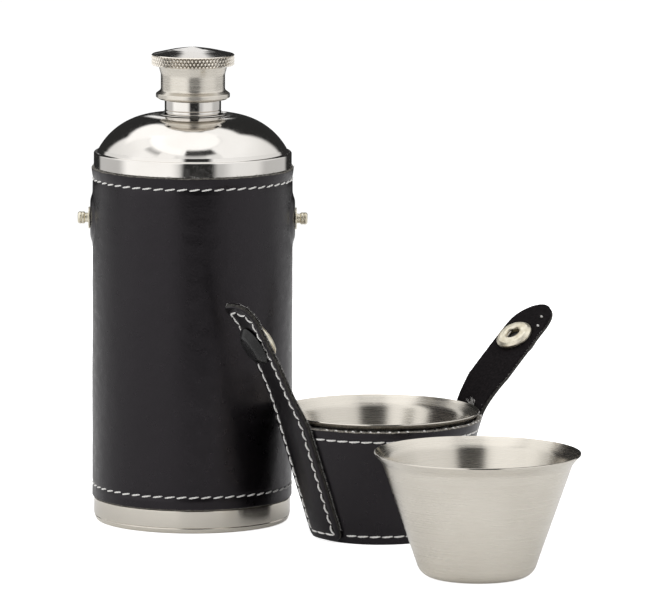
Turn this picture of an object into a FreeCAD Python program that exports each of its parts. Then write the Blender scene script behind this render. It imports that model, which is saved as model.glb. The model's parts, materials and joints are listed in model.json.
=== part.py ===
import FreeCAD
import Part
import math
import os

# Round hunting flask with a leather sleeve, and its leather case of two drinking cups, laid out for
# use: the flask stands on the origin, the case with one cup in it stands beside it, and the second
# cup stands in front. The case fits upside down over the flask's cap, and its two straps snap onto
# the studs on the flask's sides.
# Millimetres. Z is up, the studs lie along X, and the origin is the centre of the flask's underside.
# Outlines are lists of corners (radius, height) or (radius, height, rounding), turned about Z.

Vector = FreeCAD.Vector
ORIGIN = Vector(0, 0, 0)
UP = Vector(0, 0, 1)

FIT_GAP = 0.05  # between pieces that are fixed to each other
RUN_GAP = 0.3  # between curved faces that move past each other

# Bottle
TUBE_R = 28.3
TUBE_WALL = 0.6
BAND_R = 29.5
BAND_TOP = 6.95
BAND_CORNER = 2.8
BASE_FLOOR = 0.8
SLEEVE_R = 30.0
SLEEVE_LIP_R = 30.3
SLEEVE_BOTTOM = 7.0
SLEEVE_TOP = 106.7
COLLAR_R = 29.6
COLLAR_TOP = 111.1
DOME_FOOT_R = 28.0
DOME_FOOT_Z = 112.2
DOME_TOP = 122.25
DOME_DIP = 0.5  # how far the dome's top sinks towards the neck
DOME_TOP_R = 10.3
DOME_SHEET = 0.7
DOME_ARC_R = 20.3

# Neck and its thread
NECK_R = 8.44
NECK_BORE_R = 5.8
NECK_SHOULDER = 126.75
NECK_TOP = 134.5
NECK_CORE_R = 7.0
THREAD_PITCH = 2.5
THREAD_DEPTH = 0.8
THREAD_FOOT = 1.3
THREAD_CREST = 0.6
NECK_THREAD_Z = 128.3
NECK_THREAD_TURNS = 2.0
CAP_THREAD_TURNS = 1.5

# Cap
CAP_BOTTOM = 127.0
CAP_FLANGE_R = 11.07
CAP_BARREL_R = 9.6
CAP_BORE_R = NECK_CORE_R + THREAD_DEPTH + RUN_GAP
HEAD_BOTTOM = 137.05
HEAD_R = 12.4
HEAD_EDGE_TOP = 140.4
HEAD_APEX = 142.6
SEAL_BOTTOM = 134.6
SEAL_TOP = 135.9

# Studs for the straps
STUD_Z = 91.0
STUD_TIP = 34.4
STUD_HEAD_R = 1.82
STUD_HEAD_LENGTH = 2.1
STUD_NECK_R = 1.2
STUD_WASHER_R = 3.25
STUD_WASHER_THICK = 0.45
BUMP_R = 7.5
BUMP_RISE = 0.7
BACKING_R = 6.5
BACKING_THICK = 0.6

# Cups
CUP_HEIGHT = 35.8
CUP_RIM_R = 29.9
CUP_SHEET = 0.5
CUP_FOOT_R = 16.1
CUP_FOOT_CORNER = 5.0
CUP_FLARE_R = 27.5
CUP_FLARE_Z = 33.1
LOOSE_CUP_AT = (83.8, -97.5)

# Case for the cups
CASE_AT = (55.9, -28.0)
CASE_FOOT_R = 18.5
CASE_RIM_R = 30.7
CASE_HEIGHT = 35.5
CASE_LEATHER = 1.5
CASE_LINING = 0.5
CASE_BASE_THICK = 1.3
CUP_IN_CASE_Z = 1.5

# Straps: a sewn root on the case's side and a free tab above the rim
STRAP_WIDTH = 14.6
STRAP_LEATHER = 1.2
STRAP_LINING = 0.6
STRAP_THICK = STRAP_LEATHER + STRAP_LINING
STRAP_LENGTH = 44.0
STRAP_HINGE_GAP = 0.9
STRAP_ROOT_LENGTH = 36.4
STRAP_CORNER = 2.5
LEFT_AZIMUTH = 215.7
RIGHT_AZIMUTH = 28.5
# Each stretch of a tab: its length, and how many degrees it bends out, twists and turns sideways along it
LEFT_STRETCHES = [(12.0, 6.5, -8.3, 0.0), (23.0, 6.0, 0.0, 0.0), (9.0, 24.0, 12.3, 0.0)]
RIGHT_STRETCHES = [(12.0, 34.0, 15.6, -14.5), (23.0, 2.0, 0.0, 0.0), (9.0, -1.5, -6.4, 0.0)]
TAB_SECTION_STEP = 4.0

# Snap fasteners
SNAP_AT = 28.5
SNAP_CAP_R = 6.25
SNAP_CAP_RISE = 3.0
SNAP_CAP_SEAT = 0.2
SNAP_POST_R = 1.9
SNAP_HOLE_R = 2.1
SOCKET_R = 5.6
SOCKET_HEIGHT = 2.2
SOCKET_MOUTH_R = 2.05
SOCKET_CHAMBER_R = 3.3
SPRING_WIRE_R = 0.3
SPRING_HALF_GAP = 1.95


def save(node, shape):
    shape.exportStep("parts/" + node + ".step")


def rounded_corner(before, corner, after, rounding):
    """Start, middle and end of the arc that rounds a corner."""
    to_before = (before - corner).normalize()
    to_after = (after - corner).normalize()
    half = to_before.getAngle(to_after) / 2
    reach = rounding / math.tan(half)
    bisector = (to_before + to_after).normalize()
    centre = corner + bisector * (rounding / math.sin(half))
    return corner + to_before * reach, centre - bisector * rounding, corner + to_after * reach


def outline(corners, closed=True):
    """A wire through the corners, in the XZ plane."""
    points = [Vector(corner[0], 0, corner[1]) for corner in corners]
    roundings = [corner[2] if len(corner) > 2 else 0 for corner in corners]
    count = len(points)
    edges = []
    last = None
    first = None
    for i in range(count):
        at_end = not closed and i in (0, count - 1)
        if roundings[i] and not at_end:
            start, middle, end = rounded_corner(
                points[i - 1], points[i], points[(i + 1) % count], roundings[i]
            )
        else:
            start = middle = end = points[i]
        if last is not None and last.distanceToPoint(start) > 1e-6:
            edges.append(Part.makeLine(last, start))
        if start.distanceToPoint(end) > 1e-6:
            edges.append(Part.Arc(start, middle, end).toShape())
        if first is None:
            first = start
        last = end
    if closed and last.distanceToPoint(first) > 1e-6:
        edges.append(Part.makeLine(last, first))
    return Part.Wire(edges)


def turned(corners):
    """A solid of revolution about Z."""
    return Part.Face(outline(corners)).revolve(ORIGIN, UP, 360)


def turned_sheet(corners, thickness):
    """A thin pressed shell of revolution, with the sheet inside its outline."""
    face = outline(corners, closed=False).makeOffset2D(thickness, 0, True, True)
    return face.revolve(ORIGIN, UP, 360)


def ring(inner_r, outer_r, bottom, top):
    return turned([(inner_r, bottom), (outer_r, bottom), (outer_r, top), (inner_r, top)])


def thread_ridge(root_r, crest_r, first_z, turns, start_angle):
    """A trapezoidal ridge that winds up about Z, sunk a little into its root."""
    sunk_r = root_r - math.copysign(0.15, crest_r - root_r)
    section = [
        (sunk_r, -THREAD_FOOT / 2),
        (crest_r, -THREAD_CREST / 2),
        (crest_r, THREAD_CREST / 2),
        (sunk_r, THREAD_FOOT / 2),
    ]
    helix = Part.makeHelix(THREAD_PITCH, THREAD_PITCH * turns, sunk_r)
    profile = outline(section)
    ridge = Part.Wire(helix.Edges).makePipeShell([profile], True, True)
    ridge.rotate(ORIGIN, UP, start_angle)
    ridge.translate(Vector(0, 0, first_z))
    return ridge


# ---- Bottle ----


def bottle_base():
    wall_r = TUBE_R + FIT_GAP * 2
    return turned(
        [
            (0, 0),
            (BAND_R, 0, BAND_CORNER),
            (BAND_R, BAND_TOP, 0.3),
            (wall_r, BAND_TOP),
            (wall_r, BASE_FLOOR, BAND_CORNER - 1.0),
            (0, BASE_FLOOR),
        ]
    )


def bottle_tube():
    above_corner = BASE_FLOOR + 1.6
    return ring(TUBE_R - TUBE_WALL, TUBE_R, above_corner, COLLAR_TOP - 0.9)


def shoulder_dome():
    wall_r = TUBE_R + FIT_GAP
    seat_z = COLLAR_TOP - 0.8
    hole_r = NECK_R + 0.11
    # the foot and the flat top are tangent to the arc, so one rounded corner makes the dome
    drop = DOME_TOP - DOME_FOOT_Z
    centre_z = DOME_TOP - DOME_ARC_R
    corner_r = DOME_FOOT_R - drop * (DOME_FOOT_Z - centre_z) / (DOME_FOOT_R - DOME_TOP_R)
    inner_foot_r = DOME_FOOT_R - 0.84
    inner_corner_r = corner_r - 0.44
    return turned(
        [
            (COLLAR_R, SLEEVE_TOP + FIT_GAP),
            (COLLAR_R, COLLAR_TOP, 0.5),
            (DOME_FOOT_R + 0.5, COLLAR_TOP, 0.3),
            (DOME_FOOT_R, DOME_FOOT_Z),
            (corner_r, DOME_TOP, DOME_ARC_R - 0.1),
            (DOME_TOP_R - 0.1, DOME_TOP),
            (hole_r, DOME_TOP - DOME_DIP),
            (hole_r, DOME_TOP - DOME_DIP - DOME_SHEET),
            (DOME_TOP_R - 0.1, DOME_TOP - DOME_SHEET),
            (inner_corner_r, DOME_TOP - DOME_SHEET, DOME_ARC_R - 0.9),
            (inner_foot_r, DOME_FOOT_Z),
            (inner_foot_r, seat_z),
            (wall_r, seat_z),
            (wall_r, SLEEVE_TOP + FIT_GAP),
        ]
    )


def neck():
    flange_top = DOME_TOP - DOME_DIP - DOME_SHEET - 0.1
    stem_r = NECK_R - 0.14
    body = turned(
        [
            (NECK_BORE_R, flange_top - 0.8),
            (NECK_R + 1.2, flange_top - 0.8),
            (NECK_R + 1.2, flange_top),
            (stem_r, flange_top),
            (stem_r, DOME_TOP + 0.4),
            (NECK_R + 0.06, DOME_TOP + 0.75),
            (NECK_R + 0.06, DOME_TOP + 1.3),
            (stem_r, DOME_TOP + 1.45),
            (NECK_R, DOME_TOP + 1.6),
            (NECK_R, NECK_SHOULDER, 0.25),
            (NECK_CORE_R, NECK_SHOULDER),
            (NECK_CORE_R, NECK_TOP, 0.4),
            (NECK_BORE_R, NECK_TOP, 0.3),
        ]
    )
    crest_r = NECK_CORE_R + THREAD_DEPTH
    ridge = thread_ridge(NECK_CORE_R, crest_r, NECK_THREAD_Z, NECK_THREAD_TURNS, 0)
    return body.fuse(ridge)


def neck_flange():
    """The thin flared ring that closes the joint of neck and dome."""
    bottom = DOME_TOP - 0.12
    return turned(
        [
            (NECK_R + 0.08, bottom),
            (DOME_TOP_R - 1.0, bottom),
            (DOME_TOP_R, bottom + 0.3),
            (DOME_TOP_R, bottom + 0.55),
            (DOME_TOP_R - 1.1, bottom + 0.3),
            (NECK_R + 0.08, bottom + 0.3),
        ]
    )


def along_x(radius, start_x, end_x, end_radius=None):
    """A cylinder or cone about the studs' axis."""
    far_radius = radius if end_radius is None else end_radius
    length = end_x - start_x
    centre = Vector(start_x, 0, STUD_Z)
    if far_radius == radius:
        return Part.makeCylinder(radius, length, centre, Vector(1, 0, 0))
    return Part.makeCone(radius, far_radius, length, centre, Vector(1, 0, 0))


def on_both_sides(shape):
    """The shape and its copy turned to the opposite side of the flask."""
    opposite = shape.copy()
    opposite.rotate(ORIGIN, UP, 180)
    return shape, opposite


def stud_backing():
    """The curved rivet plate between the tube and the sleeve."""
    inner_r = TUBE_R + FIT_GAP
    plate = ring(inner_r, inner_r + BACKING_THICK, STUD_Z - 10, STUD_Z + 10)
    return plate.common(along_x(BACKING_R, 20, 40))


def leather_sleeve():
    inner_r = TUBE_R + FIT_GAP
    sleeve = turned(
        [
            (inner_r, SLEEVE_BOTTOM + FIT_GAP),
            (SLEEVE_R, SLEEVE_BOTTOM + FIT_GAP, 0.4),
            (SLEEVE_R, SLEEVE_TOP - 3.2),
            (SLEEVE_LIP_R, SLEEVE_TOP - FIT_GAP, 0.3),
            (inner_r, SLEEVE_TOP - FIT_GAP),
        ]
    )
    bump = ring(SLEEVE_R - 0.3, SLEEVE_R + BUMP_RISE, STUD_Z - 10, STUD_Z + 10)
    bump = bump.common(along_x(BUMP_R + 0.5, 26, 32, BUMP_R - 2.5))
    pocket = ring(inner_r - 0.1, inner_r + BACKING_THICK + FIT_GAP, STUD_Z - 10, STUD_Z + 10)
    pocket = pocket.common(along_x(BACKING_R + FIT_GAP, 20, 40))
    hole = along_x(STUD_NECK_R + FIT_GAP, 20, 40)
    for shape in on_both_sides(bump):
        sleeve = sleeve.fuse(shape)
    for cut in on_both_sides(pocket) + on_both_sides(hole):
        sleeve = sleeve.cut(cut)
    return sleeve


def stud():
    """Rivet shank, neck and rounded head, drawn upright and laid along X."""
    foot = TUBE_R + FIT_GAP + BACKING_THICK + FIT_GAP
    shape = turned(
        [
            (0, foot),
            (STUD_NECK_R, foot),
            (STUD_NECK_R, STUD_TIP - STUD_HEAD_LENGTH),
            (STUD_HEAD_R, STUD_TIP - STUD_HEAD_LENGTH, 0.35),
            (STUD_HEAD_R, STUD_TIP, 0.6),
            (0, STUD_TIP),
        ]
    )
    shape.rotate(ORIGIN, Vector(0, 1, 0), 90)
    shape.translate(Vector(0, 0, STUD_Z))
    return shape


def stud_washer():
    inner_x = SLEEVE_R + BUMP_RISE + FIT_GAP
    disc = along_x(STUD_WASHER_R, inner_x, inner_x + STUD_WASHER_THICK)
    return disc.cut(along_x(STUD_NECK_R + FIT_GAP, 20, 40))


# ---- Cap ----


def cap_skirt():
    """Flanged barrel with the female thread."""
    body = turned(
        [
            (CAP_BORE_R, CAP_BOTTOM + 0.6),
            (CAP_BORE_R + 0.6, CAP_BOTTOM),
            (CAP_FLANGE_R - 0.62, CAP_BOTTOM),
            (CAP_FLANGE_R, CAP_BOTTOM + 0.55),
            (CAP_FLANGE_R, CAP_BOTTOM + 1.6),
            (CAP_BARREL_R, CAP_BOTTOM + 2.7, 1.0),
            (CAP_BARREL_R, CAP_BOTTOM + 7.4, 3.0),
            (CAP_BARREL_R + 0.7, HEAD_BOTTOM - FIT_GAP),
            (CAP_BORE_R, HEAD_BOTTOM - FIT_GAP),
        ]
    )
    crest_r = CAP_BORE_R - THREAD_DEPTH
    # the ridge starts half a pitch up, so it lies midway between the neck's turns
    first_z = NECK_THREAD_Z + THREAD_PITCH / 2
    ridge = thread_ridge(CAP_BORE_R, crest_r, first_z, CAP_THREAD_TURNS, 0)
    return body.fuse(ridge)


def cap_head():
    spigot_r = CAP_BORE_R - FIT_GAP
    return turned(
        [
            (0, SEAL_TOP + 0.1),
            (spigot_r, SEAL_TOP + 0.1),
            (spigot_r, HEAD_BOTTOM),
            (HEAD_R - 0.5, HEAD_BOTTOM),
            (HEAD_R, HEAD_BOTTOM + 0.45),
            (HEAD_R, HEAD_EDGE_TOP - 0.4),
            (HEAD_R - 0.35, HEAD_EDGE_TOP),
            (HEAD_R / 2, HEAD_EDGE_TOP + 1.35, 40),
            (0, HEAD_APEX),
        ]
    )


def cap_seal():
    return ring(NECK_BORE_R - 1.3, CAP_BORE_R - RUN_GAP, SEAL_BOTTOM, SEAL_TOP)


# ---- Cups ----


def cup():
    """Flared cup of thin sheet, standing on its foot."""
    return turned_sheet(
        [
            (0, 0),
            (CUP_FOOT_R, 0, CUP_FOOT_CORNER),
            (CUP_FLARE_R, CUP_FLARE_Z, 1.5),
            (CUP_RIM_R, CUP_HEIGHT),
        ],
        CUP_SHEET,
    )


# ---- Case ----


def case_radius(height):
    """Radius of the case's outside."""
    return CASE_FOOT_R + (CASE_RIM_R - CASE_FOOT_R) * height / CASE_HEIGHT


CASE_LEAN = math.atan2(CASE_RIM_R - CASE_FOOT_R, CASE_HEIGHT)


def case_layer(outer_depth, inner_depth, bottom, top):
    """A conical layer between two depths below the case's outside."""
    across = 1 / math.cos(CASE_LEAN)
    return turned(
        [
            (case_radius(bottom) - outer_depth * across, bottom),
            (case_radius(top) - outer_depth * across, top),
            (case_radius(top) - inner_depth * across, top),
            (case_radius(bottom) - inner_depth * across, bottom),
        ]
    )


def case_wall():
    return case_layer(0, CASE_LEATHER, 0, CASE_HEIGHT)


def case_lining():
    depth = CASE_LEATHER + FIT_GAP
    return case_layer(depth, depth + CASE_LINING, CASE_BASE_THICK + FIT_GAP, CASE_HEIGHT - 0.3)


def case_base():
    inner_r = CASE_FOOT_R - CASE_LEATHER / math.cos(CASE_LEAN)
    return Part.makeCylinder(inner_r - FIT_GAP, CASE_BASE_THICK)


# ---- Straps ----
# Each strap is drawn in the plane of X and Z, with the case's axis as Z, then turned to its side.


def hinge_point():
    """Middle of the strap's thickness where it leaves the case's rim."""
    out = FIT_GAP + STRAP_THICK / 2
    return Vector(CASE_RIM_R + out * math.cos(CASE_LEAN), 0, CASE_HEIGHT - out * math.sin(CASE_LEAN))


def heading(lean):
    """Direction along a strap that leans out from upright."""
    return Vector(math.sin(lean), 0, math.cos(lean))


def outward(lean):
    """Direction out of a strap's smooth face."""
    return Vector(math.cos(lean), 0, -math.sin(lean))


def turn(vector, axis, degrees):
    return FreeCAD.Rotation(axis, degrees).multVec(vector)


def walk(stretches, distance):
    """Place of the strap's middle at a distance up from the rim, and its directions along, across and out."""
    place = hinge_point()
    along = heading(CASE_LEAN)
    out = outward(CASE_LEAN)
    across = along.cross(out)
    for length, bend, twist, swing in stretches:
        for i in range(math.ceil(min(distance, length))):
            step = min(1, distance - i, length - i)
            share = step / length
            place = place + turn(along, across, bend * share / 2) * step
            along = turn(along, across, bend * share)
            out = turn(out, across, bend * share)
            across = turn(across, along, twist * share)
            out = turn(out, along, twist * share)
            along = turn(along, out, swing * share)
            across = turn(across, out, swing * share)
        distance = distance - length
        if distance <= 0:
            break
    return place, along, across, out


def tab_layer(stretches, inner_side, outer_side):
    """One layer of the free tab, between two offsets from the strap's middle."""
    count = math.ceil(STRAP_LENGTH / TAB_SECTION_STEP)
    sections = []
    for i in range(count + 1):
        distance = max(STRAP_HINGE_GAP, STRAP_LENGTH * i / count)
        place, _, across, out = walk(stretches, distance)
        half = across * (STRAP_WIDTH / 2)
        low = place + out * inner_side
        high = place + out * outer_side
        sections.append(Part.makePolygon([low - half, low + half, high + half, high - half, low - half]))
    layer = Part.makeLoft(sections, True, False)
    return layer.cut(tip_trim(stretches)).cut(across_strap(stretches, SNAP_AT, SNAP_HOLE_R, 10))


def across_strap(stretches, distance, radius, length):
    """A cylinder through the strap, square to it."""
    place, _, _, out = walk(stretches, distance)
    return Part.makeCylinder(radius, length, place - out * (length / 2), out)


def tip_trim(stretches):
    """What is cut away to round the tab's end."""
    radius = STRAP_WIDTH / 2
    place, along, across, out = walk(stretches, STRAP_LENGTH - radius)
    block = Part.makeBox(20, 2 * STRAP_WIDTH, 30, Vector(-10, -STRAP_WIDTH, 0))
    block.Placement = FreeCAD.Placement(place, FreeCAD.Rotation(out, across, along, "ZXY"))
    return block.cut(across_strap(stretches, STRAP_LENGTH - radius, radius, 40))


def strap_root():
    """The sewn part, wrapped on the case's side, with its lower corners rounded."""
    along = heading(CASE_LEAN)
    out = outward(CASE_LEAN) * (STRAP_THICK / 2)
    top = hinge_point() - along * STRAP_HINGE_GAP
    foot = hinge_point() - along * STRAP_ROOT_LENGTH
    section = [top + out, top - out, foot - out, foot + out]
    band = turned([(point.x, point.z) for point in section])
    width = Part.makeBox(60, STRAP_WIDTH, 60, Vector(0, -STRAP_WIDTH / 2, -10))
    edges = [edge for edge in width.Edges if abs(edge.Vertexes[0].X - edge.Vertexes[-1].X) > 50]
    low = [edge for edge in edges if edge.Vertexes[0].Z < 0]
    width = width.makeFillet(STRAP_CORNER, low)
    width.translate(Vector(0, 0, 10 + foot.z - (STRAP_THICK / 2) * math.sin(CASE_LEAN)))
    return band.common(width)


def to_snap(shape, stretches):
    """Moves a shape turned about Z, with its zero at the strap's smooth face, to the snap's place."""
    place, along, across, out = walk(stretches, SNAP_AT)
    seat = place + out * (STRAP_THICK / 2)
    shape.Placement = FreeCAD.Placement(seat, FreeCAD.Rotation(along * -1, across, out, "ZXY"))
    return shape


def snap_cap(stretches):
    """Domed button on the smooth side, with its post through the strap."""
    seat = SNAP_CAP_SEAT
    post_end = -STRAP_THICK - 0.7
    shape = turned(
        [
            (0, post_end),
            (SNAP_POST_R, post_end),
            (SNAP_POST_R, seat),
            (SNAP_CAP_R - 0.5, seat),
            (SNAP_CAP_R, seat + 0.5, 0.2),
            (SNAP_CAP_R - 1.9, SNAP_CAP_RISE - 0.3, 2.5),
            (0, SNAP_CAP_RISE),
        ]
    )
    return to_snap(shape, stretches)


def snap_socket(stretches):
    """Ring-shaped socket on the suede side, hollow for its spring and for the stud's head."""
    seat = -STRAP_THICK - FIT_GAP
    mouth = seat - SOCKET_HEIGHT
    chamber_top = seat - 0.6
    chamber_bottom = mouth + 0.8
    shape = turned(
        [
            (SNAP_POST_R + FIT_GAP, seat),
            (SOCKET_R - 0.4, seat),
            (SOCKET_R, seat - 0.5, 0.2),
            (SOCKET_R, mouth + 0.9, 0.6),
            (SOCKET_R - 1.6, mouth, 1.0),
            (SOCKET_MOUTH_R + 0.3, mouth, 0.2),
            (SOCKET_MOUTH_R, mouth + 0.4),
            (SOCKET_MOUTH_R, chamber_bottom),
            (SOCKET_CHAMBER_R, chamber_bottom),
            (SOCKET_CHAMBER_R, chamber_top),
            (SNAP_POST_R + FIT_GAP, chamber_top),
        ]
    )
    return to_snap(shape, stretches)


def snap_spring(stretches):
    """Bent wire that grips the stud's head from both sides."""
    level = -STRAP_THICK - FIT_GAP - SOCKET_HEIGHT + 1.15
    bend_x = 0.6
    gap = SPRING_HALF_GAP
    leg_start = Vector(-1.4, -gap, level)
    leg_end = Vector(bend_x, -gap, level)
    far_start = Vector(bend_x, gap, level)
    far_end = Vector(-1.4, gap, level)
    bend = Part.Arc(leg_end, Vector(bend_x + gap, 0, level), far_start).toShape()
    path = Part.Wire([Part.makeLine(leg_start, leg_end), bend, Part.makeLine(far_start, far_end)])
    section = Part.Wire([Part.makeCircle(SPRING_WIRE_R, leg_start, Vector(1, 0, 0))])
    return to_snap(path.makePipeShell([section], True, False), stretches)


def to_case(shape, azimuth):
    """Turns a shape drawn about the case's axis to its side, and stands it at the case."""
    shape.rotate(ORIGIN, UP, azimuth)
    shape.translate(Vector(CASE_AT[0], CASE_AT[1], 0))
    return shape


def save_strap(side, azimuth, stretches):
    inner_face = -STRAP_THICK / 2
    seam = inner_face + STRAP_LINING
    outer_face = STRAP_THICK / 2
    pieces = {
        "root": strap_root(),
        "tab": tab_layer(stretches, seam + 0.02, outer_face),
        "tab_lining": tab_layer(stretches, inner_face, seam),
    }
    for name, shape in pieces.items():
        save("strap_" + side + "_" + name, to_case(shape, azimuth))
    save("snap_cap_" + side, to_case(snap_cap(stretches), azimuth))
    save("snap_socket_" + side, to_case(snap_socket(stretches), azimuth))
    save("snap_spring_" + side, to_case(snap_spring(stretches), azimuth))


def main():
    os.makedirs("parts", exist_ok=True)
    save("bottle_base", bottle_base())
    save("bottle_tube", bottle_tube())
    save("shoulder_dome", shoulder_dome())
    save("neck", neck())
    save("neck_flange", neck_flange())
    save("leather_sleeve", leather_sleeve())
    makers = {"stud": stud, "stud_washer": stud_washer, "stud_backing": stud_backing}
    for name, maker in makers.items():
        right, left = on_both_sides(maker())
        save(name + "_right", right)
        save(name + "_left", left)
    save("cap_skirt", cap_skirt())
    save("cap_head", cap_head())
    save("cap_seal", cap_seal())
    save("case_wall", to_case(case_wall(), 0))
    save("case_lining", to_case(case_lining(), 0))
    save("case_base", to_case(case_base(), 0))
    stowed = to_case(cup(), 0)
    stowed.translate(Vector(0, 0, CUP_IN_CASE_Z))
    save("cup_stowed", stowed)
    loose = cup()
    loose.translate(Vector(LOOSE_CUP_AT[0], LOOSE_CUP_AT[1], 0))
    save("cup_loose", loose)
    save_strap("left", LEFT_AZIMUTH, LEFT_STRETCHES)
    save_strap("right", RIGHT_AZIMUTH, RIGHT_STRETCHES)


main()
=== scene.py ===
import json
import random
from math import asin, atan2, ceil, copysign, cos, exp, hypot, pi, radians, sin, sqrt, tan
from types import SimpleNamespace

import bmesh
import bpy
from mathutils import Matrix, Quaternion, Vector, noise


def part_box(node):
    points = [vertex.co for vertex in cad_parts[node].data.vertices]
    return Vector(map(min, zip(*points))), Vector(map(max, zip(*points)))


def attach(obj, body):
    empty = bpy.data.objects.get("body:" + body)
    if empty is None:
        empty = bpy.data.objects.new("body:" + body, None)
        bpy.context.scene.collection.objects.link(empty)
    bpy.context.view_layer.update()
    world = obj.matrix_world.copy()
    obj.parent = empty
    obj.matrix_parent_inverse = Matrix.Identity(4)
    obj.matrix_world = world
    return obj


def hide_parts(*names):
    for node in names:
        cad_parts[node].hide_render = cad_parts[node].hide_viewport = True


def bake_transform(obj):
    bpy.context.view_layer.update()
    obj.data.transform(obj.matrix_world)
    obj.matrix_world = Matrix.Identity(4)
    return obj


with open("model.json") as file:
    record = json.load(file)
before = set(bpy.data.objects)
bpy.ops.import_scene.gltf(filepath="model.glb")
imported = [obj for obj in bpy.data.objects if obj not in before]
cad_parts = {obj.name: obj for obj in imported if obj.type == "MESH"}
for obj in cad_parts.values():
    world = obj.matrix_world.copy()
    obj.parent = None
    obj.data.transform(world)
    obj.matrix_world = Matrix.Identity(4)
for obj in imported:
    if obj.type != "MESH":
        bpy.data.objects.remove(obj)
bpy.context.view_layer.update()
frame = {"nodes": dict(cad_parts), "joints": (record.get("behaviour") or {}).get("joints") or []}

# Looks of a round hunting flask in a leather sleeve, with its leather case, two snap straps and two
# steel cups. Lengths are millimetres in the frame's axes, and MM turns them into Blender's metres.
# Outlines are lists of corners (radius, height) or (radius, height, rounding), turned about Z.

MM = 0.001
SEED = 7
UP = Vector((0, 0, 1))

# Sewing
THREAD_R = 0.27
STITCH_STEPS = 12
SLEEVE_STITCHES = 51
SLEEVE_TOP_ROW = 3.6
SLEEVE_BOTTOM_ROW = 3.9
CASE_RIM_ROW = 3.2
CASE_FOOT_ROW = 2.5
CASE_PITCH = 3.7
STRAP_PITCH = 3.45
STITCH_SHARE = 0.94
SLEEVE_STITCH_SHARE = 0.87
SLEEVE_THREAD_R = 0.25
ROW_PRESS = 0.28
ROW_PRESS_WIDTH = 0.6

# Flask
SLEEVE_LEATHER = 1.62
SLEEVE_LIP = 0.3
SLEEVE_LIP_HEIGHT = 3.2
STUD_BUMP_RISE = 0.7
STUD_BUMP_FOOT = 8.2
STUD_BUMP_TOP = 5.0
DOME_SHEET = 0.7
DOME_DIP = 0.5
DOME_ARC_R = 20.3
DOME_TOP_R = 10.3
NECK_R = 8.44
NECK_CORE_R = 7.0
NECK_BORE_R = 5.8
NECK_SHOULDER_DROP = 7.75
THREAD_PITCH = 2.5
THREAD_DEPTH = 0.8
THREAD_FOOT = 1.3
THREAD_CREST = 0.6
CAP_BORE_R = 8.1
CAP_BARREL_R = 9.6
KNURL_COUNT = 66
KNURL_HEIGHT = 1.9
KNURL_DEPTH = 0.5

# Cups
CUP_SHEET = 0.5
CUP_FOOT_R = 16.1
CUP_FOOT_CORNER = 5.0
CUP_FLARE_R = 27.5
CUP_FLARE_BELOW_TOP = 3.03
CUP_RIM_BELOW_TOP = 0.33

# Case and straps
CASE_LEATHER = 1.5
STRAP_WIDTH = 14.6
STRAP_LEATHER = 1.2
STRAP_LINING = 0.6
STRAP_THICK = STRAP_LEATHER + STRAP_LINING
STRAP_LENGTH = 44.0
STRAP_ROOT = 36.4
STRAP_CORNER = 2.5
STRAP_GAP = 0.05
STRAP_ROW = 1.8
STRAP_ROW_TIP = 3.0
STRAP_ROW_FOOT = 0.4
STRAP_HAIRS = {"left": 2600, "right": 400}
CASE_HAIRS = 1100
SLEEVE_HAIRS = 420
TUFT_HAIRS = 26
STRAP_FLATTENS_OVER = 14.0
STRAP_BENDS_OVER = 9.0
WALK_STEP = 0.5
# Each stretch of a strap's free part: its length, and the degrees it bends out, twists and turns sideways
STRAP_STRETCHES = {
    "left": [(12.0, 6.5, -8.3, 0.0), (23.0, 6.0, 0.0, 0.0), (9.0, 24.0, 12.3, 0.0)],
    "right": [(12.0, 34.0, 15.6, -14.5), (23.0, 2.0, 0.0, 0.0), (9.0, -1.5, -6.4, 0.0)],
}
# Places across and along the right strap where thread ends show on its suede
THREAD_ENDS = ((-4.4, 38.0), (-5.4, 34.1))
SNAP_AT = 28.5
SNAP_CAP_R = 6.25
SNAP_CAP_RISE = 3.0
SOCKET_R = 5.6
SOCKET_HEIGHT = 2.2

# Studio
ROOM_LIGHT = 0.028
BACKDROP = 1.05
FLOOR_R = 620
FLOOR_GAP = 0.05
FLOOR_LIGHT = 0.12
FLOOR_SEEN = 0.85

# Camera
CAMERA_TARGET = (39.3, 0.0, 65.3)
CAMERA_DISTANCE = 2249
CAMERA_ELEVATION = 8.03
CAMERA_ROLL = 0.27
CAMERA_LENS = 417.3


# ---- Measures from the frame ----


def span(node):
    """Axis, radius, foot radius, lowest and highest z of a turned node. The studs widen it only along X."""
    low, high = (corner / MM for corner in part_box(node))
    x = (low.x + high.x) / 2
    y = (low.y + high.y) / 2
    points = [v.co / MM for v in frame["nodes"][node].data.vertices]
    foot = max(hypot(p.x - x, p.y - y) for p in points if p.z < low.z + 0.02)
    return SimpleNamespace(x=x, y=y, r=(high.y - low.y) / 2, foot_r=foot, bottom=low.z, top=high.z)


def joint(name):
    return next(j for j in frame["joints"] if j["name"] == name)


def around(angle, radius, height=0.0):
    """The place at this angle and radius about Z."""
    return (radius * cos(angle), radius * sin(angle), height)


def outward(angle):
    return Vector(around(angle, 1))


def smooth(value, low, high):
    share = min(max((value - low) / (high - low), 0), 1)
    return share * share * (3 - 2 * share)


def pressed(from_row, depth=ROW_PRESS):
    """How far the leather is pressed in at a distance from a row of stitches."""
    return depth * exp(-((from_row / ROW_PRESS_WIDTH) ** 2))


def wobble(point, size):
    """Smooth unevenness from -1 to 1, with features of about this size."""
    return noise.noise(Vector(point) / size)


# ---- Meshes ----


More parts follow.
